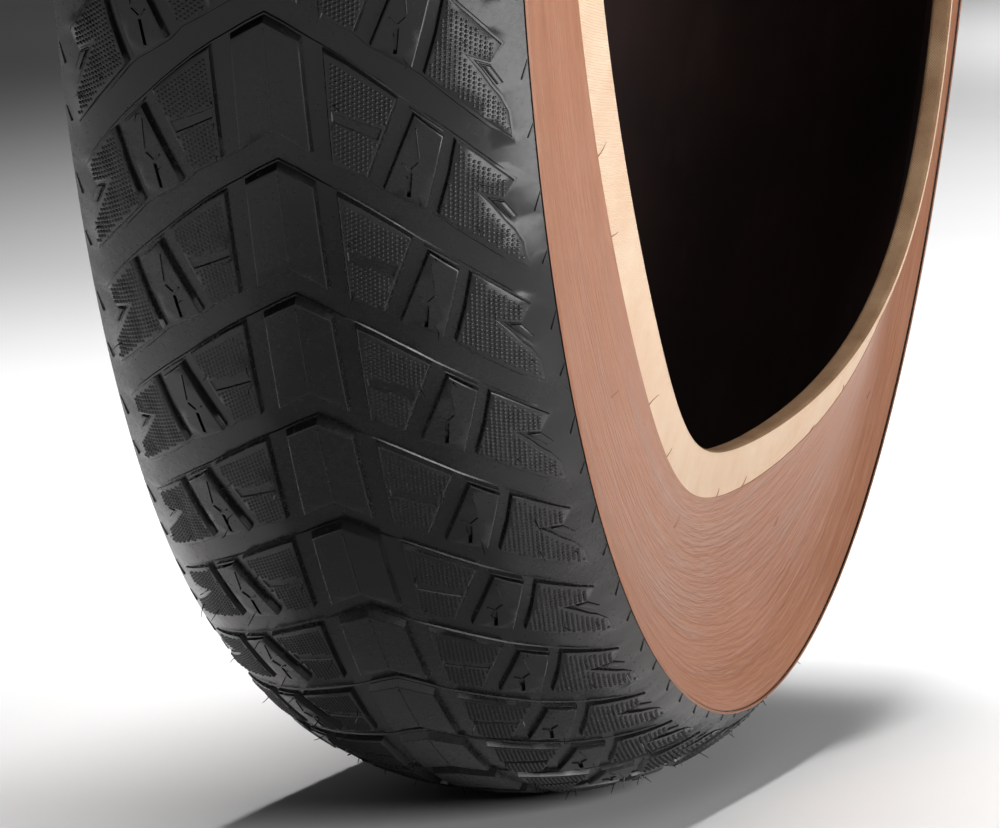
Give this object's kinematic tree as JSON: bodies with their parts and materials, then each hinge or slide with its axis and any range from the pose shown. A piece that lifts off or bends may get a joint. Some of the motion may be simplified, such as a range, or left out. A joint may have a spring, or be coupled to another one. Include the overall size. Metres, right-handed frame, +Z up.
{
  "type": "bicycle tyre",
  "caption": "Wide folding bicycle tyre with chevron block tread, tan sidewalls, woven rim strips and an open cavity for an inner tube.",
  "frame": {"origin": "centre of the tyre, on the spin axis and midway between the two beads", "axes": "+Y along the spin axis towards the left wall, +Z up, +X to the front; the points of the tread rows lead towards +Z at the front"},
  "size_m": [0.732, 0.1242, 0.732],
  "materials": {
    "tread_rubber": "satin moulded black rubber",
    "breaker_cord": "rubber-coated woven strip, hidden",
    "casing_cord": "rubber-coated fine cord, hidden",
    "liner_rubber": "matt dark brown rubber",
    "skin_rubber": "satin tan rubber over fine cord",
    "chafer_cloth": "matt cream woven cloth",
    "core_cord": "bundled aramid strands, hidden"
  },
  "bodies": {
    "root": {"tread_cap": "tread_rubber", "breaker_belt": "breaker_cord", "casing_ply": "casing_cord", "inner_liner": "liner_rubber", "sidewall_left": "skin_rubber", "sidewall_right": "skin_rubber", "chafer_left": "chafer_cloth", "chafer_right": "chafer_cloth", "bead_core_left": "core_cord", "bead_core_right": "core_cord"}
  },
  "joints": []
}
